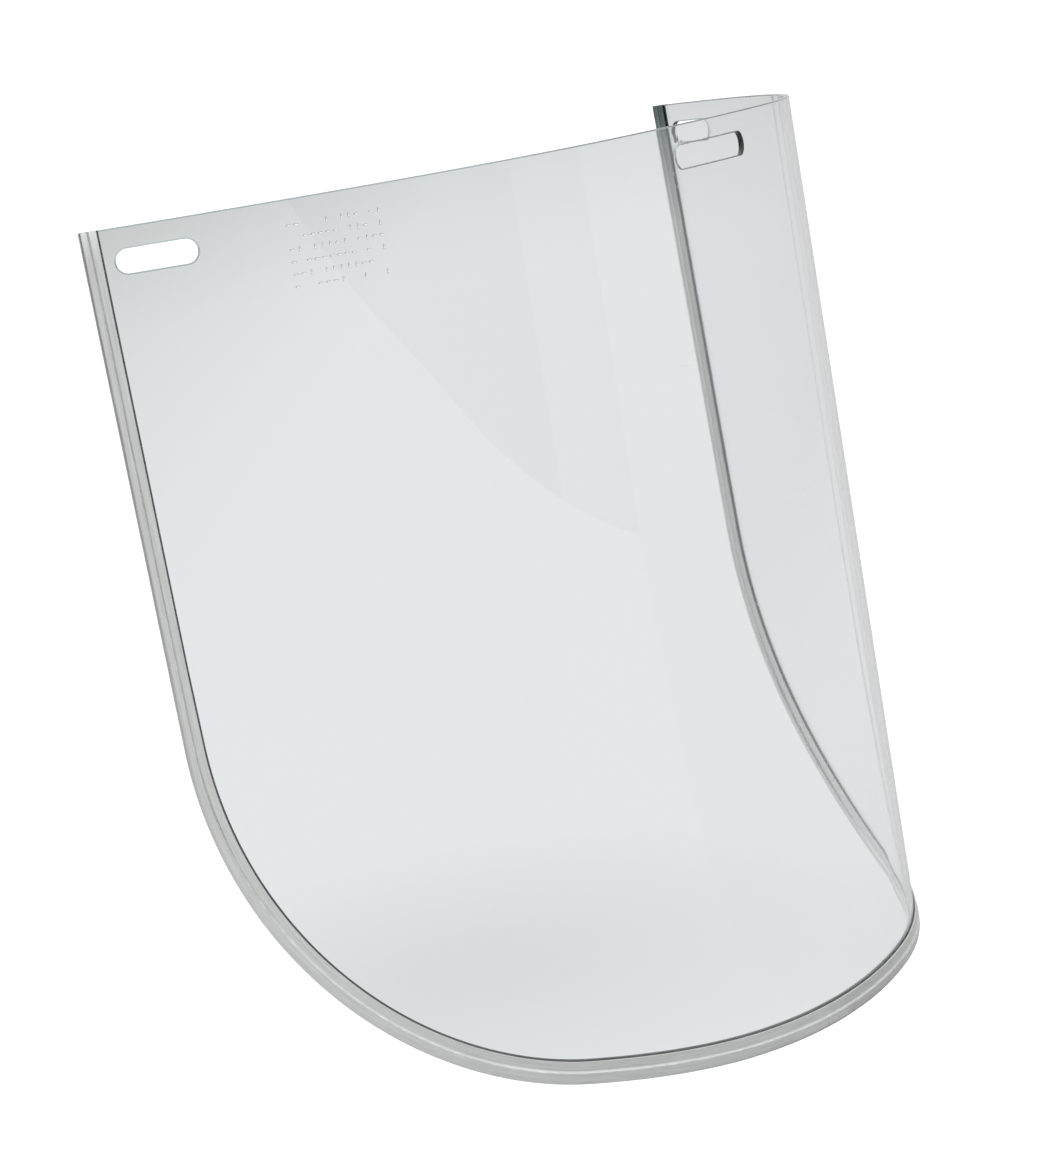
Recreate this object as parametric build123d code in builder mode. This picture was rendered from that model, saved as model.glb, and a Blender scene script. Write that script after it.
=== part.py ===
from build123d import *
from math import cos, degrees, sin, tan, radians
import os

# Replacement window of an industrial face shield: one clear sheet, cut flat, bent round
# upright lines into a deep curve, and bound along its two ends and its bottom by one
# folded aluminium channel. The straight top edge is left bare, and three slots below it
# hook over the studs of a headgear.
#
# Frame, in millimetres: +X to the wearer's left, +Y towards the wearer, +Z up, with the
# origin at the centre of the middle slot, halfway through the sheet.

# Flat outline over the binding, before bending.
overall_width = 400.0
overall_height = 240.0
side_taper = 2.0  # degrees that each end leans in towards the bottom
corner_radius = 108.0
bottom_radius = 580.0

# Plan of the bent sheet, as radii and developed lengths from the middle outwards.
front_radius = 325.0
front_half_length = 50.0
shoulder_radius = 137.0
shoulder_length = 70.0
end_radius = 195.0

# Window sheet and its three slots.
sheet_thickness = 1.5
slot_height = 6.0
side_slot_length = 20.0
middle_slot_length = 41.5
side_slot_reach = 182.0  # developed length from the middle to a side slot's centre
slot_drop = 8.4  # from the top edge down to the slots' centres

# Aluminium binding: a folded strip whose lips are pressed closer than its back.
strip_gauge = 0.6
binding_depth = 5.7  # from the folded back to the lips
back_depth = 3.3  # the part of that depth which stands proud of the lips
lip_press = 0.35  # how much closer to the sheet the lips are than the back
fit_clearance = 0.05  # between the sheet and the channel, on every side

# Values that follow from the sizes above.
half_sheet = sheet_thickness / 2
half_lips = half_sheet + fit_clearance
half_back = half_lips + lip_press
top_edge = slot_drop
overrun = 20.0  # how far cutting surfaces pass what they cut
fence_reach = 5.0  # how far those surfaces stand off the sheet's middle
edge_points = 25  # places along each edge of the outline where its bent line is worked out
plan_arcs = (
    (front_half_length, front_radius),
    (shoulder_length, shoulder_radius),
    (overall_width / 2 + overrun - front_half_length - shoulder_length, end_radius),
)


def plan_angle(along):
    """Angle in radians that the sheet has turned at a developed distance from the middle."""
    turn = 0.0
    left = abs(along)
    for length, radius in plan_arcs:
        turn += min(left, length) / radius
        left -= min(left, length)
    return turn if along >= 0 else -turn


def plan_point(along, inward=0.0):
    """Plan position on the sheet's middle surface, or a distance inward of it."""
    x = 0.0
    y = 0.0
    turn = 0.0
    left = abs(along)
    for length, radius in plan_arcs:
        end_turn = turn + min(left, length) / radius
        x += radius * (sin(end_turn) - sin(turn))
        y += radius * (cos(turn) - cos(end_turn))
        turn = end_turn
        left -= min(left, length)
    x -= inward * sin(turn)
    y += inward * cos(turn)
    return (x if along >= 0 else -x, y)


def bent_slab(half_thickness):
    """The whole bent rectangle, thick by twice the value, centred on the middle surface."""
    first = front_half_length
    second = first + shoulder_length
    third = overall_width / 2 + overrun / 2
    stations = (-third, -second, -first, first, second, third)
    with BuildPart() as slab:
        with BuildSketch(Plane.XY.offset(top_edge - overall_height - overrun)):
            with BuildLine():
                for inward in (-half_thickness, half_thickness):
                    for start, end in zip(stations, stations[1:]):
                        ThreePointArc(
                            plan_point(start, inward),
                            plan_point((start + end) / 2, inward),
                            plan_point(end, inward),
                        )
                for end in (-third, third):
                    Line(plan_point(end, -half_thickness), plan_point(end, half_thickness))
            make_face()
        extrude(amount=overall_height + overrun)
    return slab.part


# Flat pattern over the binding, as cut and bound before bending. It stands above the top
# edge by the overrun, so that what is cut to it ends square at the top.
side_lean = tan(radians(side_taper))
top_half = overall_width / 2 + overrun * side_lean
low_half = overall_width / 2 - (overall_height + overrun) * side_lean
with BuildSketch() as flat_pattern:
    with BuildLine():
        Polyline(
            (-top_half, top_edge + overrun),
            (-low_half, top_edge - overall_height - overrun),
            (low_half, top_edge - overall_height - overrun),
            (top_half, top_edge + overrun),
            close=True,
        )
    make_face()
    with Locations((0, top_edge - overall_height + bottom_radius)):
        Circle(bottom_radius, mode=Mode.INTERSECT)
    fillet(flat_pattern.vertices().group_by(Axis.Y)[0], radius=corner_radius)


def bent_spline(edge, inward):
    """One edge of the flat outline, bent with the sheet at a distance inward of its middle."""
    steps = [step / (edge_points - 1) for step in range(edge_points)]
    flat_points = [edge.position_at(step) for step in steps]
    tangents = []
    for step, flat_point in ((0, flat_points[0]), (1, flat_points[-1])):
        turn = plan_angle(flat_point.X)
        run = edge.tangent_at(step)
        tangents.append((run.X * cos(turn), run.X * sin(turn), run.Y))
    bent_points = [(*plan_point(p.X, inward), p.Y) for p in flat_points]
    return Spline(*bent_points, tangents=tangents, mode=Mode.PRIVATE)


def edge_fence(inset):
    """Surface square to the bent sheet, along the flat outline moved in by the inset."""
    with BuildSketch() as inner_pattern:
        add(flat_pattern.sketch)
        if inset > 0:
            offset(amount=-inset, kind=Kind.INTERSECTION, mode=Mode.REPLACE)
    edges = Wire(inner_pattern.edges().sort_by(Axis.Y)[:-1]).order_edges()
    outer_line = Wire([bent_spline(edge, -fence_reach) for edge in edges])
    inner_line = Wire([bent_spline(edge, fence_reach) for edge in edges])
    return Face.make_surface_from_curves(outer_line, inner_line)


def trimmed_slab(half_thickness, inset):
    """The bent slab inside the outline moved in by the inset."""
    pieces = bent_slab(half_thickness).solid().split(edge_fence(inset), keep=Keep.ALL)
    return ShapeList(pieces).sort_by(SortBy.VOLUME)[-1]


def edge_band(half_thickness, near, far):
    """The bent slab's border, between two insets from the outline."""
    pieces = trimmed_slab(half_thickness, near).split(edge_fence(far), keep=Keep.ALL)
    return ShapeList(pieces).sort_by(SortBy.VOLUME)[0]


def slot_plane(along):
    """Plane that touches the middle surface at a slot's centre, facing the wearer."""
    turn = plan_angle(along)
    x, y = plan_point(along)
    return Plane(origin=(x, y, 0), x_dir=(cos(turn), sin(turn), 0), z_dir=(-sin(turn), cos(turn), 0))


# Window: the clear sheet, cut back from the outline by the channel's back and clearance.
sheet_inset = strip_gauge + fit_clearance
slots = (
    (-side_slot_reach, side_slot_length),
    (0.0, middle_slot_length),
    (side_slot_reach, side_slot_length),
)
with BuildPart() as window:
    add(trimmed_slab(half_sheet, sheet_inset))
    for along, length in slots:
        with BuildSketch(slot_plane(along)):
            SlotOverall(length, slot_height)
        extrude(amount=overrun / 4, both=True, mode=Mode.SUBTRACT)

# Edge binding: the folded strip, a proud back and two pressed lips, less the room for the
# sheet. The room behind the lips is as much wider as the back stands proud.
with BuildPart() as edge_binding:
    add(edge_band(half_back + strip_gauge, 0.0, back_depth))
    add(edge_band(half_lips + strip_gauge, back_depth / 2, binding_depth))
    add(edge_band(half_lips, strip_gauge, binding_depth + strip_gauge), mode=Mode.SUBTRACT)
    add(edge_band(half_back, strip_gauge, back_depth - strip_gauge), mode=Mode.SUBTRACT)

os.makedirs("parts", exist_ok=True)
window.part.label = "window"
export_step(window.part, "parts/window.step")
edge_binding.part.label = "edge_binding"
export_step(edge_binding.part, "parts/edge_binding.step")
print("wrap each side", round(degrees(plan_angle(overall_width / 2)), 1), "degrees")
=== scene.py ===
# Face shield window: a clear bent sheet, bound on three sides by a folded aluminium strip.
# Metres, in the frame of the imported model: +X to the wearer's left, +Y towards the wearer,
# +Z up, with the origin at the centre of the middle slot, halfway through the sheet.
import bmesh
import bpy
from math import atan2, ceil, cos, hypot, pi, radians, sin, sqrt, tan
from mathutils import Matrix, Vector


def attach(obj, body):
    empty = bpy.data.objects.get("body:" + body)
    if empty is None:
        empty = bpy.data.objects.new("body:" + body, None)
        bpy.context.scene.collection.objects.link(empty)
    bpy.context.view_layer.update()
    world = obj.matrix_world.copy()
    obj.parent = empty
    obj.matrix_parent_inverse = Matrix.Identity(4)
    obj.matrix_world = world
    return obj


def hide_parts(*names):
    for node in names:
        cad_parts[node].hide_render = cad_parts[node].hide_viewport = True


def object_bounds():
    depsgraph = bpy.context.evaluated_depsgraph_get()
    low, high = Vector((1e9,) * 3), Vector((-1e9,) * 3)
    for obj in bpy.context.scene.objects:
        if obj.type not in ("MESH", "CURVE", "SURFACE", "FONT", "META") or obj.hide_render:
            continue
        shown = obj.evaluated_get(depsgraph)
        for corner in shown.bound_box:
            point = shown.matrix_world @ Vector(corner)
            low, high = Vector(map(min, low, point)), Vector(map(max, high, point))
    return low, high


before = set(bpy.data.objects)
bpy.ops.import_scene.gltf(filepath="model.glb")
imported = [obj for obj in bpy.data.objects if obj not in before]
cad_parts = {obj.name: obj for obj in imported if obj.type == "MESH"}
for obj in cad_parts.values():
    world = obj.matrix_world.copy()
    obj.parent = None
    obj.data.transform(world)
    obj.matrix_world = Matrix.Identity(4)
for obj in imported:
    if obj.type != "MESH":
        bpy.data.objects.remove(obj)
cad_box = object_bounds()
scene = bpy.context.scene
mm = 0.001
top_edge = 8.4 * mm

# ---------------------------------------------------------------------------------------
# Camera: a long lens a little above the window, to the wearer's right and front, so that
# it looks through the near half into the hollow of the far half. It is rolled, so that the
# window leans to the right in the frame.
camera_azimuth = radians(-62.2245)
camera_elevation = radians(6.5722)
camera_roll = radians(-9.2301)
camera_distance = 1.3423
camera_shift_right = -0.04744
camera_shift_up = -0.12122
camera_lens = 159.136
level_right = Vector((cos(camera_azimuth), sin(camera_azimuth), 0.0))
camera_back = Vector(
    (
        sin(camera_azimuth) * cos(camera_elevation),
        -cos(camera_azimuth) * cos(camera_elevation),
        sin(camera_elevation),
    )
)
level_up = camera_back.cross(level_right)
camera_right = level_right * cos(camera_roll) + level_up * sin(camera_roll)
camera_up = level_up * cos(camera_roll) - level_right * sin(camera_roll)
camera_place = (
    Vector((0.0, 0.0, top_edge))
    + camera_right * camera_shift_right
    + camera_up * camera_shift_up
    + camera_back * camera_distance
)
camera = bpy.data.objects.new("camera", bpy.data.cameras.new("camera"))
camera.data.sensor_width = 36.0
camera.data.lens = camera_lens
camera.data.clip_start = 0.05
camera.data.clip_end = 50.0
turn = Matrix((camera_right, camera_up, camera_back)).transposed()
camera.matrix_world = Matrix.Translation(camera_place) @ turn.to_4x4()
scene.collection.objects.link(camera)
scene.camera = camera

# ---------------------------------------------------------------------------------------
# Window: 1.5 mm clear polycarbonate sheet, die cut flat with three stud slots and then bent
# round upright lines. Its cut edges are rounded a little by the die, and are duller than the
# polished faces; their colour is painted darker, as painted shade for how the light dims
# along a clear sheet's cut edge. A field of raised dashes near one end is a plain mark.
sheet_half = 0.75 * mm
overall_half_width = 200.0 * mm
overall_height = 240.0 * mm
side_lean = radians(2.0)
corner_radius = 108.0 * mm
bottom_radius = 580.0 * mm
sheet_inset = 0.65 * mm
slot_height = 6.0 * mm
side_slot_length = 20.0 * mm
middle_slot_length = 41.5 * mm
side_slot_reach = 182.0 * mm
cut_round = 0.36 * mm
strip_width = 2.0 * mm
row_height = 10.0 * mm
merge_gap = 0.002 * mm


def arc(centre, radius, start, end, spacing):
    """Points along an arc, without its last one."""
    steps = max(2, ceil(abs(end - start) * radius / spacing))
    angles = [start + (end - start) * step / steps for step in range(steps)]
    return [(centre[0] + radius * cos(a), centre[1] + radius * sin(a)) for a in angles]


def bound_outline(inset, spacing):
    """The flat bound edge, moved in by inset, from the top right round to the top left."""
    down = Vector((-sin(side_lean), -cos(side_lean)))
    inward = Vector((-cos(side_lean), sin(side_lean)))
    top_corner = Vector((overall_half_width, top_edge))
    bottom_centre = Vector((0.0, top_edge - overall_height + bottom_radius))
    reach = top_corner + inward * corner_radius - bottom_centre
    lean_in = reach.dot(down)
    drop = -lean_in + sqrt(lean_in**2 - reach.dot(reach) + (bottom_radius - corner_radius) ** 2)
    corner_centre = top_corner + inward * corner_radius + down * drop
    start = top_corner + inward * inset + down * (inset * tan(side_lean))
    finish = top_corner + inward * inset + down * drop
    pieces = ceil((finish - start).length / spacing)
    half = [tuple(start.lerp(finish, piece / pieces)) for piece in range(pieces)]
    join = atan2(corner_centre.y - bottom_centre.y, corner_centre.x - bottom_centre.x)
    half += arc(corner_centre, corner_radius - inset, -side_lean, join, spacing)
    half += arc(bottom_centre, bottom_radius - inset, join, -pi / 2, spacing)
    lowest = (0.0, bottom_centre.y - bottom_radius + inset)
    return half + [lowest] + [(-x, y) for x, y in reversed(half)]


def slot_outline(along, length):
    """A slot with round ends in the flat sheet."""
    radius = slot_height / 2
    reach = length / 2 - radius
    right = arc((along + reach, 0.0), radius, -pi / 2, pi / 2, 0.3 * mm)
    left = arc((along - reach, 0.0), radius, pi / 2, pi * 3 / 2, 0.3 * mm)
    return right + [(along + reach, radius)] + left + [(along - reach, -radius)]


flat_cut = bpy.data.curves.new("flat_cut", "CURVE")
flat_cut.dimensions = "2D"
flat_cut.fill_mode = "BOTH"
flat_cut.extrude = sheet_half - cut_round
flat_cut.bevel_depth = cut_round
flat_cut.bevel_resolution = 3
flat_cut.offset = -cut_round
for loop in (
    bound_outline(sheet_inset, 2.0 * mm),
    slot_outline(-side_slot_reach, side_slot_length),
    slot_outline(0.0, middle_slot_length),
    slot_outline(side_slot_reach, side_slot_length),
):
    spline = flat_cut.splines.new("POLY")
    spline.points.add(len(loop) - 1)
    for point, place in zip(spline.points, loop):
        point.co = (*place, 0.0, 1.0)
    spline.use_cyclic_u = True
cutter = bpy.data.objects.new("flat_cut", flat_cut)
scene.collection.objects.link(cutter)
bpy.context.view_layer.update()
flat_sheet = bpy.data.meshes.new_from_object(cutter)
bpy.data.objects.remove(cutter)

# The flat sheet is cut into upright strips and level rows, so that each strip can take its
# share of the bend, and the faces of its cut edges are marked for the material.
work = bmesh.new()
work.from_mesh(flat_sheet)
bmesh.ops.remove_doubles(work, verts=work.verts, dist=merge_gap)
cuts = int(overall_half_width / strip_width)
rows = int(overall_height / row_height)
cut_planes = [((cut * strip_width, 0.0, 0.0), (1.0, 0.0, 0.0)) for cut in range(1 - cuts, cuts)]
cut_planes += [((0.0, -row * row_height, 0.0), (0.0, 1.0, 0.0)) for row in range(rows)]
for place, across in cut_planes:
    bmesh.ops.bisect_plane(
        work,
        geom=work.verts[:] + work.edges[:] + work.faces[:],
        dist=merge_gap / 2,
        plane_co=place,
        plane_no=across,
    )
bmesh.ops.recalc_face_normals(work, faces=work.faces)


def on_cut(first, second, spacing):
    """Whether an edge's two ends both lie on one of the evenly spaced cuts."""
    cut_place = round(first / spacing) * spacing
    return max(abs(first - cut_place), abs(second - cut_place)) < merge_gap


flat_faces = {face for face in work.faces if abs(face.normal.z) > 0.9999}
inner_edges = [
    edge
    for edge in work.edges
    if flat_faces.issuperset(edge.link_faces)
    and not on_cut(edge.verts[0].co.x, edge.verts[1].co.x, strip_width)
    and not on_cut(edge.verts[0].co.y, edge.verts[1].co.y, row_height)
]
bmesh.ops.dissolve_edges(work, edges=inner_edges, use_verts=True)
rim_layer = work.faces.layers.float.new("Rim")
flat_layer = work.loops.layers.uv.new("Flat")
for face in work.faces:
    face.smooth = True
    face[rim_layer] = 0.0 if abs(face.normal.z) > 0.9999 else 1.0
    for corner in face.loops:
        corner[flat_layer].uv = corner.vert.co.xy
for edge in work.edges:
    edge.smooth = len({face[rim_layer] for face in edge.link_faces}) == 1
work.to_mesh(flat_sheet)
work.free()


def new_tree(name, sockets):
    """An empty node tree for geometry, with its named inputs and their values."""
    tree = bpy.data.node_groups.new(name, "GeometryNodeTree")
    tree.interface.new_socket("Geometry", in_out="OUTPUT", socket_type="NodeSocketGeometry")
    tree.interface.new_socket("Geometry", in_out="INPUT", socket_type="NodeSocketGeometry")
    for label, kind, value in sockets:
        made = tree.interface.new_socket(label, in_out="INPUT", socket_type=kind)
        if value is not None:
            made.default_value = value
    return tree, tree.nodes.new("NodeGroupInput"), tree.nodes.new("NodeGroupOutput")


def add_node(tree, kind, inputs=None, **settings):
    """A node with its settings, whose inputs are values or other nodes' outputs."""
    made = tree.nodes.new(kind)
    for name, value in settings.items():
        setattr(made, name, value)
    for key, value in (inputs or {}).items():
        if isinstance(value, bpy.types.NodeSocket):
            tree.links.new(value, made.inputs[key])
        else:
            made.inputs[key].default_value = value
    return made


def calc(tree, operation, *values, clamp=False):
    """The output of a Math node."""
    inputs = dict(enumerate(values))
    made = add_node(tree, "ShaderNodeMath", inputs, operation=operation, use_clamp=clamp)
    return made.outputs[0]


# Bending rolls the flat sheet over three rounds on each side of its middle: a flat front,
# a tight shoulder and a wide end. The flat sheet lies in X and Y with its outside up.
bend_sizes = (
    ("Front radius", 325.0 * mm),
    ("Front half length", 50.0 * mm),
    ("Shoulder radius", 137.0 * mm),
    ("Shoulder length", 70.0 * mm),
    ("End radius", 195.0 * mm),
)
bend, bend_in, bend_out = new_tree(
    "Bend round upright lines",
    [(label, "NodeSocketFloat", value) for label, value in bend_sizes],
)
flat_place = add_node(
    bend, "ShaderNodeSeparateXYZ", {0: add_node(bend, "GeometryNodeInputPosition").outputs[0]}
)
along = calc(bend, "ABSOLUTE", flat_place.outputs["X"])
front_radius, front_length, shoulder_radius, shoulder_length, end_radius = (
    bend_in.outputs[label] for label, value in bend_sizes
)
past_front = calc(bend, "MAXIMUM", calc(bend, "SUBTRACT", along, front_length), 0.0)
past_shoulder = calc(bend, "MAXIMUM", calc(bend, "SUBTRACT", past_front, shoulder_length), 0.0)
front_turn = calc(bend, "DIVIDE", calc(bend, "MINIMUM", along, front_length), front_radius)
shoulder_run = calc(bend, "MINIMUM", past_front, shoulder_length)
shoulder_turn = calc(bend, "ADD", front_turn, calc(bend, "DIVIDE", shoulder_run, shoulder_radius))
end_turn = calc(bend, "ADD", shoulder_turn, calc(bend, "DIVIDE", past_shoulder, end_radius))
front_step = calc(bend, "SUBTRACT", front_radius, shoulder_radius)
shoulder_step = calc(bend, "SUBTRACT", shoulder_radius, end_radius)
outer_radius = calc(bend, "ADD", end_radius, flat_place.outputs["Z"])
side = calc(bend, "MULTIPLY", front_step, calc(bend, "SINE", front_turn))
side = calc(bend, "MULTIPLY_ADD", shoulder_step, calc(bend, "SINE", shoulder_turn), side)
side = calc(bend, "MULTIPLY_ADD", outer_radius, calc(bend, "SINE", end_turn), side)
side = calc(bend, "MULTIPLY", side, calc(bend, "SIGN", flat_place.outputs["X"]))
depth = calc(bend, "MULTIPLY", front_step, calc(bend, "COSINE", front_turn))
depth = calc(bend, "MULTIPLY_ADD", shoulder_step, calc(bend, "COSINE", shoulder_turn), depth)
depth = calc(bend, "MULTIPLY_ADD", outer_radius, calc(bend, "COSINE", end_turn), depth)
depth = calc(bend, "SUBTRACT", front_radius, depth)
bent_place = add_node(
    bend, "ShaderNodeCombineXYZ", {"X": side, "Y": depth, "Z": flat_place.outputs["Y"]}
)
bent = add_node(
    bend,
    "GeometryNodeSetPosition",
    {"Geometry": bend_in.outputs["Geometry"], "Position": bent_place.outputs[0]},
)
bend.links.new(bent.outputs[0], bend_out.inputs[0])


def bake_tree(piece, tree, values):
    """Puts the tree on a piece, sets its named inputs, and keeps the result as a plain mesh."""
    modifier = piece.modifiers.new(tree.name, "NODES")
    modifier.node_group = tree
    for item in tree.interface.items_tree:
        if item.in_out == "INPUT" and item.name in values:
            modifier[item.identifier] = values[item.name]
    bpy.context.view_layer.update()
    depsgraph = bpy.context.evaluated_depsgraph_get()
    made = bpy.data.meshes.new_from_object(piece.evaluated_get(depsgraph))
    piece.modifiers.remove(modifier)
    piece.data = made
    made.name = piece.name
    return piece


# Shading shared by both pieces: hairline scratches, as thin contour lines of a stretched
# noise, broken up by a second, coarser noise.
hairlines = bpy.data.node_groups.new("Hairline scratches", "ShaderNodeTree")
hairlines.interface.new_socket("Mask", in_out="OUTPUT", socket_type="NodeSocketFloat")
hairlines.interface.new_socket("Vector", in_out="INPUT", socket_type="NodeSocketVector")
for label, value in (("Scale", 40.0), ("Width", 0.004), ("Cover", 0.5)):
    hairlines.interface.new_socket(
        label, in_out="INPUT", socket_type="NodeSocketFloat"
    ).default_value = value
lines_in = hairlines.nodes.new("NodeGroupInput")
lines_out = hairlines.nodes.new("NodeGroupOutput")
line_noise = add_node(
    hairlines,
    "ShaderNodeTexNoise",
    {"Vector": lines_in.outputs["Vector"], "Scale": lines_in.outputs["Scale"], "Detail": 1.0},
)
off_contour = calc(hairlines, "ABSOLUTE", calc(hairlines, "SUBTRACT", line_noise.outputs[0], 0.5))
on_contour = calc(
    hairlines,
    "SUBTRACT",
    1.0,
    calc(hairlines, "DIVIDE", off_contour, lines_in.outputs["Width"]),
    clamp=True,
)
break_noise = add_node(
    hairlines,
    "ShaderNodeTexNoise",
    {
        "Vector": lines_in.outputs["Vector"],
        "Scale": calc(hairlines, "MULTIPLY", lines_in.outputs["Scale"], 0.37),
        "Detail": 2.0,
    },
)
kept = calc(
    hairlines,
    "SUBTRACT",
    calc(hairlines, "ADD", break_noise.outputs[0], lines_in.outputs["Cover"]),
    1.0,
)
kept = calc(hairlines, "MULTIPLY", kept, 12.0, clamp=True)
hairlines.links.new(calc(hairlines, "MULTIPLY", on_contour, kept), lines_out.inputs["Mask"])


def new_material(name):
    """A material with its node tree and its Principled shader."""
    made = bpy.data.materials.new(name)
    made.use_nodes = True
    return made, made.node_tree, made.node_tree.nodes["Principled BSDF"]


def blend_colour(tree, amount, first, second):
    """A colour between two others, by amount."""
    mix = add_node(
        tree, "ShaderNodeMix", {0: amount, 6: first, 7: second}, data_type="RGBA", clamp_factor=True
    )
    return mix.outputs[2]


def spread(tree, value, low, high, start=0.0, end=1.0):
    """The value moved from the range start to end onto low to high."""
    made = add_node(
        tree,
        "ShaderNodeMapRange",
        {"Value": value, "From Min": start, "From Max": end, "To Min": low, "To Max": high},
    )
    return made.outputs[0]


clear, clear_tree, clear_shader = new_material("clear polycarbonate")
clear_shader.inputs["Transmission Weight"].default_value = 1.0
clear_shader.inputs["IOR"].default_value = 1.585
clear_shader.inputs["Metallic"].default_value = 0.0
sheet_flat = add_node(clear_tree, "ShaderNodeUVMap", uv_map="Flat").outputs[0]
sheet_rim = add_node(clear_tree, "ShaderNodeAttribute", attribute_name="Rim").outputs["Fac"]
sheet_noise = add_node(
    clear_tree, "ShaderNodeTexNoise", {"Vector": sheet_flat, "Scale": 14.0, "Detail": 3.0}
)
sheet_lines = add_node(clear_tree, "ShaderNodeGroup", {}, node_tree=hairlines)
clear_tree.links.new(
    add_node(
        clear_tree,
        "ShaderNodeMapping",
        {"Vector": sheet_flat, "Rotation": (0.0, 0.0, radians(35)), "Scale": (1.0, 7.0, 1.0)},
    ).outputs[0],
    sheet_lines.inputs["Vector"],
)
sheet_lines.inputs["Scale"].default_value = 22.0
sheet_lines.inputs["Width"].default_value = 0.0022
sheet_lines.inputs["Cover"].default_value = 0.42
face_colour = blend_colour(
    clear_tree, sheet_noise.outputs[0], (0.925, 0.945, 0.95, 1.0), (0.94, 0.955, 0.96, 1.0)
)
# Painted shade: the cut edges get a dark grey green colour for how dark a clear sheet's edge looks.
edge_painted_shade = (0.20, 0.27, 0.275, 1.0)
sheet_colour = blend_colour(clear_tree, sheet_rim, face_colour, edge_painted_shade)
clear_tree.links.new(sheet_colour, clear_shader.inputs["Base Color"])
face_roughness = calc(
    clear_tree,
    "MULTIPLY_ADD",
    sheet_lines.outputs[0],
    0.12,
    spread(clear_tree, sheet_noise.outputs[0], 0.008, 0.022),
)
sheet_roughness = calc(clear_tree, "MULTIPLY_ADD", sheet_rim, 0.12, face_roughness)
clear_tree.links.new(sheet_roughness, clear_shader.inputs["Roughness"])
swell_noise = add_node(
    clear_tree, "ShaderNodeTexNoise", {"Vector": sheet_flat, "Scale": 9.0, "Detail": 1.0}
)
swell = add_node(
    clear_tree,
    "ShaderNodeBump",
    {"Strength": 0.1, "Distance": 0.02 * mm, "Height": swell_noise.outputs[0]},
)
clear_tree.links.new(swell.outputs[0], clear_shader.inputs["Normal"])
# Lamps reach what lies behind the sheet, dimmed as the sheet dims it.
lamp_ray = add_node(clear_tree, "ShaderNodeLightPath").outputs["Is Shadow Ray"]
let_through = add_node(clear_tree, "ShaderNodeBsdfTransparent", {"Color": (0.88, 0.89, 0.89, 1.0)})
clear_mix = add_node(
    clear_tree,
    "ShaderNodeMixShader",
    {0: lamp_ray, 1: clear_shader.outputs[0], 2: let_through.outputs[0]},
)
clear_tree.links.new(clear_mix.outputs[0], clear_tree.nodes["Material Output"].inputs["Surface"])

# The raised dashes stand on the outside of the flat sheet in level rows, some turned
# upright and some left out by a fixed seed, and are bent with the sheet.
window_tree, window_in, window_out = new_tree(
    "Window with raised dashes",
    [
        ("Field length", "NodeSocketFloat", 23.0 * mm),
        ("Field height", "NodeSocketFloat", 15.0 * mm),
        ("Columns", "NodeSocketInt", 13),
        ("Rows", "NodeSocketInt", 6),
        ("Field centre", "NodeSocketVector", (-138.0 * mm, -5.5 * mm, sheet_half)),
        ("Dash size", "NodeSocketVector", (0.66 * mm, 0.24 * mm, 0.14 * mm)),
        ("Share left out", "NodeSocketFloat", 0.25),
        ("Seed", "NodeSocketInt", 4),
        ("Finish", "NodeSocketMaterial", None),
    ],
)
field = add_node(
    window_tree,
    "GeometryNodeMeshGrid",
    {
        "Size X": window_in.outputs["Field length"],
        "Size Y": window_in.outputs["Field height"],
        "Vertices X": window_in.outputs["Columns"],
        "Vertices Y": window_in.outputs["Rows"],
    },
)
field_place = add_node(
    window_tree,
    "GeometryNodeTransform",
    {"Geometry": field.outputs["Mesh"], "Translation": window_in.outputs["Field centre"]},
)
turned = add_node(
    window_tree,
    "FunctionNodeRandomValue",
    {"Probability": 0.35, "Seed": window_in.outputs["Seed"]},
    data_type="BOOLEAN",
)
turned_by = add_node(
    window_tree,
    "ShaderNodeCombineXYZ",
    {"Z": calc(window_tree, "MULTIPLY", turned.outputs[3], pi / 2)},
)
left_out = add_node(
    window_tree,
    "FunctionNodeRandomValue",
    {
        "Probability": window_in.outputs["Share left out"],
        "Seed": calc(window_tree, "ADD", window_in.outputs["Seed"], 11.0),
    },
    data_type="BOOLEAN",
)
dash_kept = add_node(
    window_tree, "FunctionNodeBooleanMath", {0: left_out.outputs[3]}, operation="NOT"
)
dome = add_node(
    window_tree, "GeometryNodeMeshUVSphere", {"Segments": 14, "Rings": 8, "Radius": 1.0}
)
dash = add_node(
    window_tree,
    "GeometryNodeTransform",
    {"Geometry": dome.outputs["Mesh"], "Scale": window_in.outputs["Dash size"]},
)
dashes = add_node(
    window_tree,
    "GeometryNodeInstanceOnPoints",
    {
        "Points": field_place.outputs[0],
        "Selection": dash_kept.outputs[0],
        "Instance": dash.outputs[0],
        "Rotation": turned_by.outputs[0],
    },
)
plain_dashes = add_node(
    window_tree, "GeometryNodeRealizeInstances", {"Geometry": dashes.outputs[0]}
)
smooth_dashes = add_node(
    window_tree, "GeometryNodeSetShadeSmooth", {"Geometry": plain_dashes.outputs[0]}
)
both = add_node(window_tree, "GeometryNodeJoinGeometry")
window_tree.links.new(smooth_dashes.outputs[0], both.inputs[0])
window_tree.links.new(window_in.outputs["Geometry"], both.inputs[0])
window_bent = add_node(window_tree, "GeometryNodeGroup", {}, node_tree=bend)
window_tree.links.new(both.outputs[0], window_bent.inputs["Geometry"])
window_plain = add_node(
    window_tree, "GeometryNodeRealizeInstances", {"Geometry": window_bent.outputs[0]}
)
window_finish = add_node(
    window_tree,
    "GeometryNodeSetMaterial",
    {"Geometry": window_plain.outputs[0], "Material": window_in.outputs["Finish"]},
)
window_tree.links.new(window_finish.outputs[0], window_out.inputs[0])

window = bpy.data.objects.new("clear_window", flat_sheet)
scene.collection.objects.link(window)
bake_tree(window, window_tree, {"Finish": clear})
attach(window, "root")
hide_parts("window")

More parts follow.
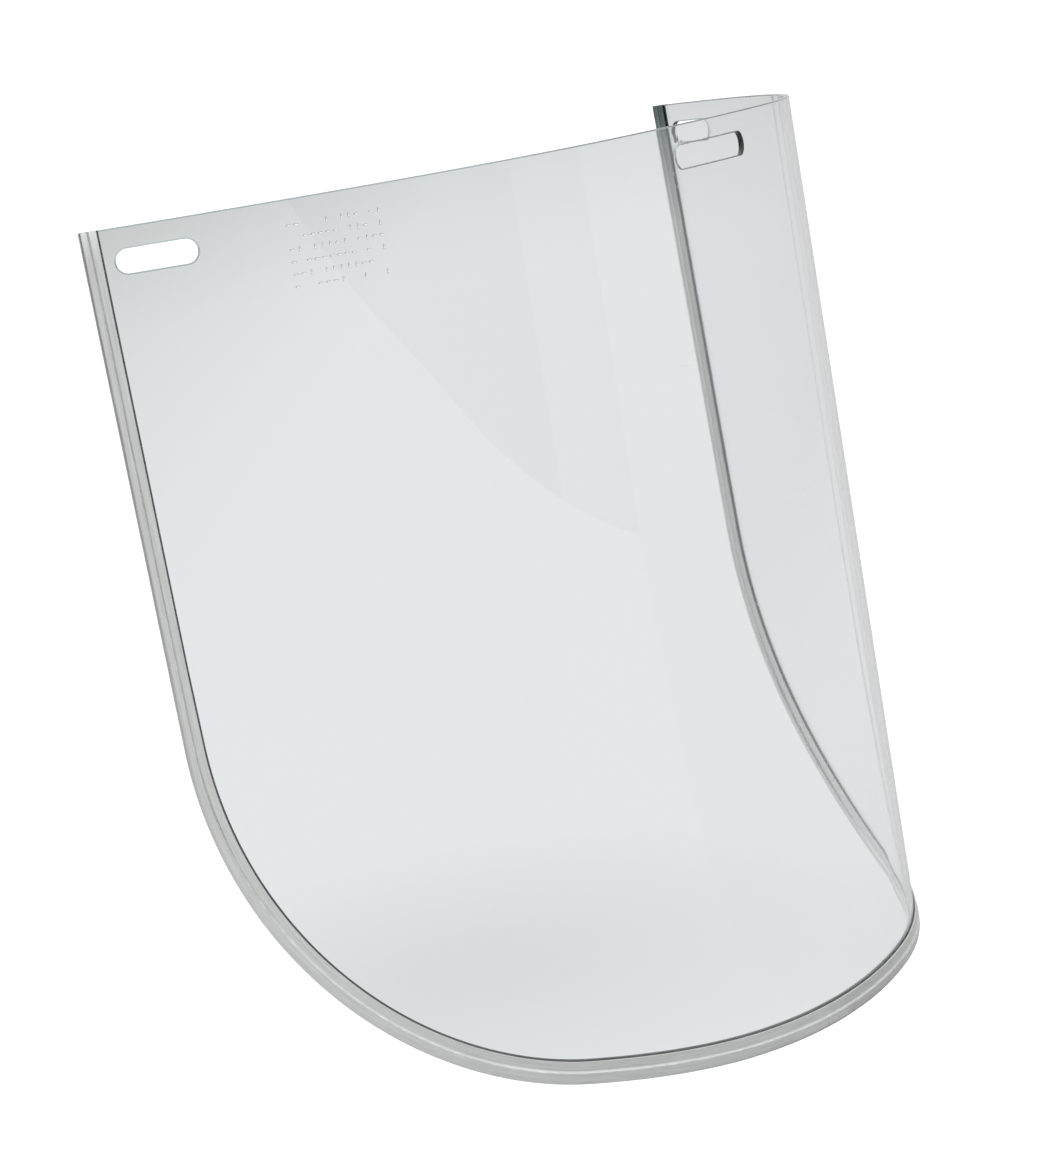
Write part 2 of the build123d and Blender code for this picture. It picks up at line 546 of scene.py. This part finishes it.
# ---------------------------------------------------------------------------------------
# Edge binding: one strip of 0.6 mm mill-finish aluminium, rolled into a channel, pushed
# over the sheet's edge and pressed. Its folded back stands proud of the two pressed lips,
# and the lip on the wearer's side is left a little longer.
strip_gauge = 0.6 * mm
lips_half = 0.8 * mm
lip_press = 0.35 * mm
binding_depth = 5.9 * mm
inner_lip_extra = 0.5 * mm
crease_near = 2.8 * mm
crease_far = 3.7 * mm
bead_place = 2.9 * mm
bead_width = 0.32 * mm
bead_height = 0.045 * mm
fold_radius = 1.3 * mm
pocket_radius = 0.12 * mm
edge_break = 0.13 * mm
bead_margin = 0.05 * mm
lip_margin = 0.1 * mm
ripple_height = 0.04 * mm


def round_off(distance, radius):
    """How far a rounded back has opened at a distance from its tip, from 0 to 1."""
    left = max(0.0, 1.0 - distance / radius)
    return sqrt(1.0 - left * left)


def stand_proud(depth):
    """1 on the folded back and 0 on the lips, with a smooth crease between."""
    share = min(1.0, max(0.0, (crease_far - depth) / (crease_far - crease_near)))
    return share * share * (3.0 - 2.0 * share)


def bead(depth):
    """Height of the fine raised line that the rolls leave along the crease."""
    return bead_height * max(0.0, 1.0 - ((depth - bead_place) / bead_width) ** 2)


def channel_side(depth):
    """One half of the channel's section, as (depth, half width, pocket) points, where pocket is the
    share of painted shade: full in the channel's hollow, partly on the lip's cut end.
    """
    steps = [piece / 16 for piece in range(17)]
    pocket_end = strip_gauge + pocket_radius
    inner = [strip_gauge + pocket_radius * (1.0 - cos(step * pi / 2)) for step in steps[::4]]
    inner += [pocket_end + (depth - edge_break - pocket_end) * step for step in steps[1:]]
    points = []
    for place in inner:
        half = lips_half + lip_press * stand_proud(place)
        points.append((place, half * round_off(place - strip_gauge, pocket_radius), 1.0))
    # The lip's cut end is painted dark as shade too, strongly at its inner corner and faintly at
    # its outer one.
    points.append((depth, lips_half + edge_break, 0.85))
    outer = [fold_radius * (1.0 - cos(step * pi / 2)) for step in steps[::2]]
    flat_end = bead_place - bead_width - bead_margin
    lip_start = crease_far + lip_margin
    outer += [fold_radius + (flat_end - fold_radius) * step for step in steps[4::4]]
    outer += [flat_end + (lip_start - flat_end) * step for step in steps[1:]]
    outer += [lip_start + (depth - edge_break - lip_start) * step for step in steps[4::4]]
    points.append((depth, lips_half + strip_gauge - ripple_height - bead_height - edge_break, 0.2))
    for place in reversed(outer):
        half = lips_half + strip_gauge - ripple_height - bead_height
        half += lip_press * stand_proud(place) + bead(place)
        points.append((place, half * round_off(place, fold_radius), 0.0))
    return points


inner_side = channel_side(binding_depth + inner_lip_extra)
outer_side = [(place, -half, pocket) for place, half, pocket in channel_side(binding_depth)]
section_points = inner_side + outer_side[::-1][1:-1]
section_mesh = bpy.data.meshes.new("channel_section")
count = len(section_points)
section_mesh.from_pydata(
    [(place, half, 0.0) for place, half, pocket in section_points],
    [(corner, (corner + 1) % count) for corner in range(count)],
    [],
)
# The pocket attribute carries that share of painted shade.
across_layer = section_mesh.attributes.new("Across", "FLOAT", "POINT")
pocket_shade_layer = section_mesh.attributes.new("Pocket", "FLOAT", "POINT")
depth_layer = section_mesh.attributes.new("Depth", "FLOAT", "POINT")
walked = 0.0
for corner, (place, half, pocket) in enumerate(section_points):
    last = section_points[corner - 1] if corner else (place, half, pocket)
    walked += hypot(place - last[0], half - last[1])
    across_layer.data[corner].value = walked
    pocket_shade_layer.data[corner].value = pocket
    depth_layer.data[corner].value = place
section = bpy.data.objects.new("channel_section", section_mesh)
scene.collection.objects.link(section)

binding_tree, binding_in, binding_out = new_tree(
    "Rolled channel",
    [
        ("Section", "NodeSocketObject", None),
        ("Ripple height", "NodeSocketFloat", ripple_height),
        ("Ripples per metre", "NodeSocketFloat", 70.0),
        ("Top edge", "NodeSocketFloat", top_edge),
        ("Depth on legs", "NodeSocketFloat", 0.77),
        ("Legs above", "NodeSocketFloat", -100.0 * mm),
        ("Full depth below", "NodeSocketFloat", -228.0 * mm),
        ("Finish", "NodeSocketMaterial", None),
    ],
)
run = add_node(binding_tree, "GeometryNodeMeshToCurve", {0: binding_in.outputs["Geometry"]})
run_level = add_node(
    binding_tree, "GeometryNodeSetCurveNormal", {"Curve": run.outputs[0]}, mode="Z_UP"
)
run_length = add_node(binding_tree, "GeometryNodeSplineParameter").outputs["Length"]
run_marked = add_node(
    binding_tree,
    "GeometryNodeStoreNamedAttribute",
    {"Geometry": run_level.outputs[0], "Name": "Along", "Value": run_length},
    data_type="FLOAT",
    domain="POINT",
)
run_placed = add_node(
    binding_tree,
    "GeometryNodeStoreNamedAttribute",
    {
        "Geometry": run_marked.outputs[0],
        "Name": "Run",
        "Value": add_node(binding_tree, "GeometryNodeInputPosition").outputs[0],
    },
    data_type="FLOAT_VECTOR",
    domain="POINT",
)
section_shape = add_node(
    binding_tree, "GeometryNodeObjectInfo", {"Object": binding_in.outputs["Section"]}
)
section_loop = add_node(
    binding_tree, "GeometryNodeMeshToCurve", {0: section_shape.outputs["Geometry"]}
)
swept = add_node(
    binding_tree,
    "GeometryNodeCurveToMesh",
    {"Curve": run_placed.outputs[0], "Profile Curve": section_loop.outputs[0], "Fill Caps": True},
)
named = {
    label: add_node(
        binding_tree, "GeometryNodeInputNamedAttribute", {"Name": label}, data_type="FLOAT"
    ).outputs["Attribute"]
    for label in ("Along", "Across", "Pocket", "Depth")
}
strip_place = add_node(
    binding_tree, "ShaderNodeCombineXYZ", {"X": named["Along"], "Y": named["Across"]}
)
mapped = add_node(
    binding_tree,
    "GeometryNodeStoreNamedAttribute",
    {"Geometry": swept.outputs[0], "Name": "Strip", "Value": strip_place.outputs[0]},
    data_type="FLOAT2",
    domain="CORNER",
)
ripple_place = add_node(
    binding_tree,
    "ShaderNodeCombineXYZ",
    {
        "X": calc(
            binding_tree, "MULTIPLY", named["Along"], binding_in.outputs["Ripples per metre"]
        ),
        "Y": calc(binding_tree, "MULTIPLY", named["Across"], 300.0),
    },
)
ripple = add_node(
    binding_tree,
    "ShaderNodeTexNoise",
    {"Vector": ripple_place.outputs[0], "Scale": 1.0, "Detail": 2.0},
)
ripple_mask = calc(binding_tree, "SUBTRACT", 1.0, named["Pocket"], clamp=True)
ripple_lift = calc(
    binding_tree,
    "MULTIPLY",
    calc(
        binding_tree,
        "MULTIPLY",
        spread(binding_tree, ripple.outputs[0], 0.0, 1.0, 0.3, 0.7),
        ripple_mask,
    ),
    binding_in.outputs["Ripple height"],
)
ripple_offset = add_node(
    binding_tree,
    "ShaderNodeVectorMath",
    {0: add_node(binding_tree, "GeometryNodeInputNormal").outputs[0], "Scale": ripple_lift},
    operation="SCALE",
)
rippled = add_node(
    binding_tree,
    "GeometryNodeSetPosition",
    {"Geometry": mapped.outputs[0], "Offset": ripple_offset.outputs[0]},
)
# The rolls press the channel deeper over the sheet along the bottom than on the two legs.
run_place = add_node(
    binding_tree, "GeometryNodeInputNamedAttribute", {"Name": "Run"}, data_type="FLOAT_VECTOR"
).outputs["Attribute"]
depth_share = add_node(
    binding_tree,
    "ShaderNodeMapRange",
    {
        "Value": add_node(binding_tree, "ShaderNodeSeparateXYZ", {0: run_place}).outputs["Y"],
        "From Min": binding_in.outputs["Full depth below"],
        "From Max": binding_in.outputs["Legs above"],
        "To Min": 1.0,
        "To Max": binding_in.outputs["Depth on legs"],
    },
).outputs[0]
from_run = add_node(
    binding_tree,
    "ShaderNodeVectorMath",
    {0: add_node(binding_tree, "GeometryNodeInputPosition").outputs[0], 1: run_place},
    operation="SUBTRACT",
)
share_place = add_node(
    binding_tree, "ShaderNodeCombineXYZ", {"X": depth_share, "Y": depth_share, "Z": 1.0}
)
pressed_place = add_node(
    binding_tree,
    "ShaderNodeVectorMath",
    {0: from_run.outputs[0], 1: share_place.outputs[0], 2: run_place},
    operation="MULTIPLY_ADD",
)
pressed = add_node(
    binding_tree,
    "GeometryNodeSetPosition",
    {"Geometry": rippled.outputs[0], "Position": pressed_place.outputs[0]},
)
# Both ends are sawn level with the sheet's bare edge.
flat_run = add_node(
    binding_tree,
    "ShaderNodeSeparateXYZ",
    {0: add_node(binding_tree, "GeometryNodeInputPosition").outputs[0]},
)
sawn_place = add_node(
    binding_tree,
    "ShaderNodeCombineXYZ",
    {
        "X": flat_run.outputs["X"],
        "Y": calc(binding_tree, "MINIMUM", flat_run.outputs["Y"], binding_in.outputs["Top edge"]),
        "Z": flat_run.outputs["Z"],
    },
)
sawn = add_node(
    binding_tree,
    "GeometryNodeSetPosition",
    {"Geometry": pressed.outputs[0], "Position": sawn_place.outputs[0]},
)
binding_bent = add_node(binding_tree, "GeometryNodeGroup", {}, node_tree=bend)
binding_tree.links.new(sawn.outputs[0], binding_bent.inputs["Geometry"])
binding_plain = add_node(
    binding_tree, "GeometryNodeRealizeInstances", {"Geometry": binding_bent.outputs[0]}
)
binding_finish = add_node(
    binding_tree,
    "GeometryNodeSetMaterial",
    {"Geometry": binding_plain.outputs[0], "Material": binding_in.outputs["Finish"]},
)
binding_tree.links.new(binding_finish.outputs[0], binding_out.inputs[0])

mill, mill_tree, mill_shader = new_material("mill-finish aluminium")
strip_uv = add_node(mill_tree, "ShaderNodeUVMap", uv_map="Strip").outputs[0]
pocket_painted_shade = add_node(mill_tree, "ShaderNodeAttribute", attribute_name="Pocket").outputs["Fac"]
strip_depth = add_node(mill_tree, "ShaderNodeAttribute", attribute_name="Depth").outputs["Fac"]
streak_place = add_node(
    mill_tree, "ShaderNodeMapping", {"Vector": strip_uv, "Scale": (60.0, 2600.0, 1.0)}
)
streaks = add_node(
    mill_tree,
    "ShaderNodeTexNoise",
    {"Vector": streak_place.outputs[0], "Scale": 1.0, "Detail": 4.0},
)
blotch_place = add_node(
    mill_tree, "ShaderNodeMapping", {"Vector": strip_uv, "Scale": (90.0, 260.0, 1.0)}
)
blotches = add_node(
    mill_tree,
    "ShaderNodeTexNoise",
    {"Vector": blotch_place.outputs[0], "Scale": 1.0, "Detail": 4.0},
)
strip_lines = add_node(mill_tree, "ShaderNodeGroup", {}, node_tree=hairlines)
line_place = add_node(
    mill_tree, "ShaderNodeMapping", {"Vector": strip_uv, "Scale": (1.0, 9.0, 1.0)}
)
mill_tree.links.new(line_place.outputs[0], strip_lines.inputs["Vector"])
strip_lines.inputs["Scale"].default_value = 160.0
strip_lines.inputs["Width"].default_value = 0.012
strip_lines.inputs["Cover"].default_value = 0.52
tick_lines = add_node(mill_tree, "ShaderNodeGroup", {}, node_tree=hairlines)
tick_place = add_node(
    mill_tree, "ShaderNodeMapping", {"Vector": strip_uv, "Scale": (9.0, 1.0, 1.0)}
)
mill_tree.links.new(tick_place.outputs[0], tick_lines.inputs["Vector"])
tick_lines.inputs["Scale"].default_value = 14.0
tick_lines.inputs["Width"].default_value = 0.006
tick_lines.inputs["Cover"].default_value = 0.36
# Painted highlight: the crease is painted bright, in dashes, where its raised line catches the
# light, and made a little smoother there.
highlight_depth = 3.0 * mm
highlight_half_width = 0.34 * mm
crease_distance = calc(mill_tree, "ABSOLUTE", calc(mill_tree, "SUBTRACT", strip_depth, highlight_depth))
crease_line = calc(
    mill_tree,
    "SUBTRACT",
    1.0,
    calc(mill_tree, "DIVIDE", crease_distance, highlight_half_width),
    clamp=True,
)
highlight_place = add_node(
    mill_tree, "ShaderNodeMapping", {"Vector": strip_uv, "Scale": (330.0, 1.0, 1.0)}
)
highlight_noise = add_node(
    mill_tree, "ShaderNodeTexNoise", {"Vector": highlight_place.outputs[0], "Scale": 1.0, "Detail": 2.0}
)
painted_highlight = calc(
    mill_tree,
    "MULTIPLY",
    crease_line,
    spread(mill_tree, highlight_noise.outputs[0], 0.12, 0.8, 0.44, 0.62),
)
# One sawn end gets a painted highlight too, where its end catches the light. The other end is
# darker green grey, fading out downwards from its top.
end_highlight_from, end_highlight_to = 1.5 * mm, 8.2 * mm
top_darkened_from, top_darkened_to = -26.0 * mm, 6.0 * mm
strip_in_space = add_node(
    mill_tree,
    "ShaderNodeSeparateXYZ",
    {0: add_node(mill_tree, "ShaderNodeTexCoord").outputs["Object"]},
)
strip_height = strip_in_space.outputs["Z"]
on_left = calc(mill_tree, "GREATER_THAN", strip_in_space.outputs["X"], 0.0)
end_highlight = calc(
    mill_tree,
    "MULTIPLY",
    spread(mill_tree, strip_height, 0.0, 0.8, end_highlight_from, end_highlight_to),
    calc(mill_tree, "SUBTRACT", 1.0, on_left),
)
top_darkened = calc(
    mill_tree,
    "MULTIPLY",
    spread(mill_tree, strip_height, 0.0, 0.9, top_darkened_from, top_darkened_to),
    on_left,
)
painted_highlight = calc(mill_tree, "MAXIMUM", painted_highlight, end_highlight, clamp=True)
metal_colour = blend_colour(
    mill_tree,
    spread(mill_tree, streaks.outputs[0], 0.0, 1.0, 0.3, 0.7),
    (0.56, 0.575, 0.57, 1.0),
    (0.71, 0.72, 0.71, 1.0),
)
metal_colour = blend_colour(
    mill_tree,
    spread(mill_tree, blotches.outputs[0], 0.0, 0.45, 0.4, 0.75),
    metal_colour,
    (0.62, 0.61, 0.58, 1.0),
)
# The painted highlights, on the crease and on one end, are mixed in as a pale grey.
metal_colour = blend_colour(mill_tree, painted_highlight, metal_colour, (0.88, 0.89, 0.88, 1.0))
metal_colour = blend_colour(
    mill_tree,
    calc(mill_tree, "MULTIPLY", strip_lines.outputs[0], 0.5),
    metal_colour,
    (0.80, 0.81, 0.81, 1.0),
)
metal_colour = blend_colour(
    mill_tree,
    calc(mill_tree, "MULTIPLY", tick_lines.outputs[0], 0.6),
    metal_colour,
    (0.30, 0.31, 0.31, 1.0),
)
metal_colour = blend_colour(mill_tree, top_darkened, metal_colour, (0.10, 0.155, 0.15, 1.0))
# Painted shade: the channel's hollow and the lips' cut ends are painted near black and not
# metallic, and this painted shade is lighter along the bottom, where more light gets in under
# the lips.
lit_below, dark_above = -228.0 * mm, -185.0 * mm
painted_lip_shade = calc(
    mill_tree,
    "MULTIPLY",
    pocket_painted_shade,
    spread(mill_tree, strip_height, 0.6, 1.0, lit_below, dark_above),
)
metal_colour = blend_colour(mill_tree, painted_lip_shade, metal_colour, (0.012, 0.022, 0.02, 1.0))
mill_tree.links.new(metal_colour, mill_shader.inputs["Base Color"])
mill_tree.links.new(
    calc(mill_tree, "SUBTRACT", 1.0, pocket_painted_shade, clamp=True), mill_shader.inputs["Metallic"]
)
metal_roughness = spread(mill_tree, streaks.outputs[0], 0.27, 0.40, 0.3, 0.7)
metal_roughness = calc(mill_tree, "MULTIPLY_ADD", painted_highlight, -0.12, metal_roughness)
metal_roughness = calc(mill_tree, "MULTIPLY_ADD", pocket_painted_shade, 0.4, metal_roughness)
mill_tree.links.new(metal_roughness, mill_shader.inputs["Roughness"])
metal_height = calc(mill_tree, "MULTIPLY_ADD", strip_lines.outputs[0], -0.6, streaks.outputs[0])
metal_height = calc(mill_tree, "MULTIPLY_ADD", tick_lines.outputs[0], -1.0, metal_height)
metal_bump = add_node(
    mill_tree, "ShaderNodeBump", {"Strength": 0.35, "Distance": 0.03 * mm, "Height": metal_height}
)
mill_tree.links.new(metal_bump.outputs[0], mill_shader.inputs["Normal"])

outline_points = bound_outline(ripple_height, 1.2 * mm)
run_mesh = bpy.data.meshes.new("binding_run")
run_mesh.from_pydata(
    [(x, y, 0.0) for x, y in outline_points],
    [(corner, corner + 1) for corner in range(len(outline_points) - 1)],
    [],
)
binding = bpy.data.objects.new("folded_binding", run_mesh)
scene.collection.objects.link(binding)
bake_tree(binding, binding_tree, {"Section": section, "Finish": mill})
bpy.data.objects.remove(section)
binding.data.shade_smooth()
binding.data.set_sharp_from_angle(angle=radians(40))
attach(binding, "root")
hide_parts("edge_binding")

# ---------------------------------------------------------------------------------------
# Studio: a plain pale floor, a bright even surround, a large soft lamp overhead, and cards
# in several greys round the window that only reflections see, as is usual for clear goods.
floor_height = cad_box[0][2]
paper_light = 1.26
floor_mesh = bpy.data.meshes.new("floor")
floor_mesh.from_pydata(
    [(x, y, floor_height) for x, y in ((-15.0, -15.0), (15.0, -15.0), (15.0, 15.0), (-15.0, 15.0))],
    [],
    [(0, 1, 2, 3)],
)
floor = bpy.data.objects.new("floor", floor_mesh)
scene.collection.objects.link(floor)
paper, paper_tree, paper_shader = new_material("pale paper")
paper_place = add_node(paper_tree, "ShaderNodeTexCoord").outputs["Object"]
paper_noise = add_node(
    paper_tree, "ShaderNodeTexNoise", {"Vector": paper_place, "Scale": 60.0, "Detail": 4.0}
)
# The lens sees the paper bright. The sheet and the strip see it in painted greys: pale grey
# near the window, and painted darker where the light falls off.
light_falls_from, light_falls_to = 4.0, 14.0
paper_reach = add_node(
    paper_tree, "ShaderNodeVectorMath", {0: paper_place}, operation="LENGTH"
).outputs["Value"]
paper_painted_shade = blend_colour(
    paper_tree,
    spread(paper_tree, paper_reach, 0.0, 1.0, light_falls_from, light_falls_to),
    (0.66, 0.667, 0.672, 1.0),
    (0.50, 0.50, 0.50, 1.0),
)
# It is also painted a little darker towards the far left, as painted falloff of the light, and
# carries a painted soft shadow of the window.
far_left = (-0.438, 0.899, 0.0)
shadow_centre = (0.09, 0.155, 0.0)
shadow_turn = radians(28)
shadow_stretch = 1.7
shadow_full, shadow_gone = 0.02, 0.13
off_left = add_node(
    paper_tree, "ShaderNodeVectorMath", {0: paper_place, 1: far_left}, operation="DOT_PRODUCT"
).outputs["Value"]
paper_painted_shade = blend_colour(
    paper_tree,
    spread(paper_tree, off_left, 0.0, 0.75, 0.28, 0.83),
    paper_painted_shade,
    (0.44, 0.44, 0.435, 1.0),
)
shadow_place = add_node(
    paper_tree,
    "ShaderNodeMapping",
    {
        "Vector": paper_place,
        "Location": shadow_centre,
        "Rotation": (0.0, 0.0, shadow_turn),
        "Scale": (shadow_stretch, 1.0, 1.0),
    },
    vector_type="TEXTURE",
)
shadow_flat = add_node(
    paper_tree,
    "ShaderNodeVectorMath",
    {0: shadow_place.outputs[0], 1: (1.0, 1.0, 0.0)},
    operation="MULTIPLY",
)
shadow_reach = add_node(
    paper_tree, "ShaderNodeVectorMath", {0: shadow_flat.outputs[0]}, operation="LENGTH"
).outputs["Value"]
paper_painted_shade = blend_colour(
    paper_tree,
    spread(paper_tree, shadow_reach, 0.75, 0.0, shadow_full, shadow_gone),
    paper_painted_shade,
    (0.555, 0.56, 0.565, 1.0),
)
paper_white = blend_colour(
    paper_tree, paper_noise.outputs[0], (0.97, 0.97, 0.97, 1.0), (1.0, 1.0, 1.0, 1.0)
)
lens_ray = add_node(paper_tree, "ShaderNodeLightPath").outputs["Is Camera Ray"]
paper_colour = blend_colour(paper_tree, lens_ray, paper_painted_shade, paper_white)
paper_tree.links.new(paper_colour, paper_shader.inputs["Base Color"])
paper_shader.inputs["Roughness"].default_value = 0.9
paper_shader.inputs["Specular IOR Level"].default_value = 0.1
# The lens, and what is seen through the sheet, see the paper glow with its colour instead of
# being lit, whatever the lamp and the window do to the light on it: white for the lens, and
# the painted greys and painted shadow through the sheet.
paper_glow = add_node(
    paper_tree, "ShaderNodeEmission", {"Color": paper_colour, "Strength": paper_light}
)
through_ray = add_node(paper_tree, "ShaderNodeLightPath").outputs["Is Transmission Ray"]
paper_mix = add_node(
    paper_tree,
    "ShaderNodeMixShader",
    {
        0: calc(paper_tree, "MAXIMUM", lens_ray, through_ray),
        1: paper_shader.outputs[0],
        2: paper_glow.outputs[0],
    },
)
paper_tree.links.new(paper_mix.outputs[0], paper_tree.nodes["Material Output"].inputs["Surface"])
floor_mesh.materials.append(paper)

world = bpy.data.worlds.new("surround")
scene.world = world
world.use_nodes = True
world.node_tree.nodes["Background"].inputs["Color"].default_value = (1.0, 1.0, 1.0, 1.0)
world.node_tree.nodes["Background"].inputs["Strength"].default_value = 1.06
scene.view_settings.view_transform = "Standard"

lamp = bpy.data.lights.new("overhead lamp", "AREA")
lamp.size = 5.0
lamp.energy = 40.0
lamp_place = Vector((0.3, 0.4, 3.2))
lamp_turn = lamp_place.to_track_quat("Z", "Y").to_matrix().to_4x4()
overhead = bpy.data.objects.new("overhead lamp", lamp)
overhead.matrix_world = Matrix.Translation(lamp_place) @ lamp_turn
scene.collection.objects.link(overhead)


def grey_card(name, corners, shade):
    """A grey card that only reflections see."""
    mesh = bpy.data.meshes.new(name)
    mesh.from_pydata(corners, [], [tuple(range(len(corners)))])
    card = bpy.data.objects.new(name, mesh)
    scene.collection.objects.link(card)
    felt, _, felt_shader = new_material(name)
    felt_shader.inputs["Base Color"].default_value = (shade, shade, shade, 1.0)
    felt_shader.inputs["Roughness"].default_value = 0.95
    felt_shader.inputs["Specular IOR Level"].default_value = 0.0
    mesh.materials.append(felt)
    for ray in ("camera", "diffuse", "transmission", "volume_scatter", "shadow"):
        setattr(card, f"visible_{ray}", False)


card_foot = floor_height + 1.0 * mm


def standing_card(name, start, end, shade, top=0.15):
    """A grey card that stands on the floor from start to end."""
    corners = [(*start, card_foot), (*end, card_foot), (*end, top), (*start, top)]
    grey_card(name, corners, shade)


near_end, side_end, side_far_end = (0.26, -1.48), (0.66, -1.06), (3.0, 1.7)
standing_card("far card", near_end, (-3.9, -5.8), 0.10)
standing_card("near card", near_end, side_end, 0.44)
standing_card("side card", side_end, side_far_end, 0.74)
standing_card("back card", (-0.05, 1.7), (-2.4, 1.0), 0.2, top=1.2)
table_corners = [(*corner, card_foot) for corner in ((0.0, 0.0), side_end, side_far_end)]
grey_card("table card", table_corners, 0.58)
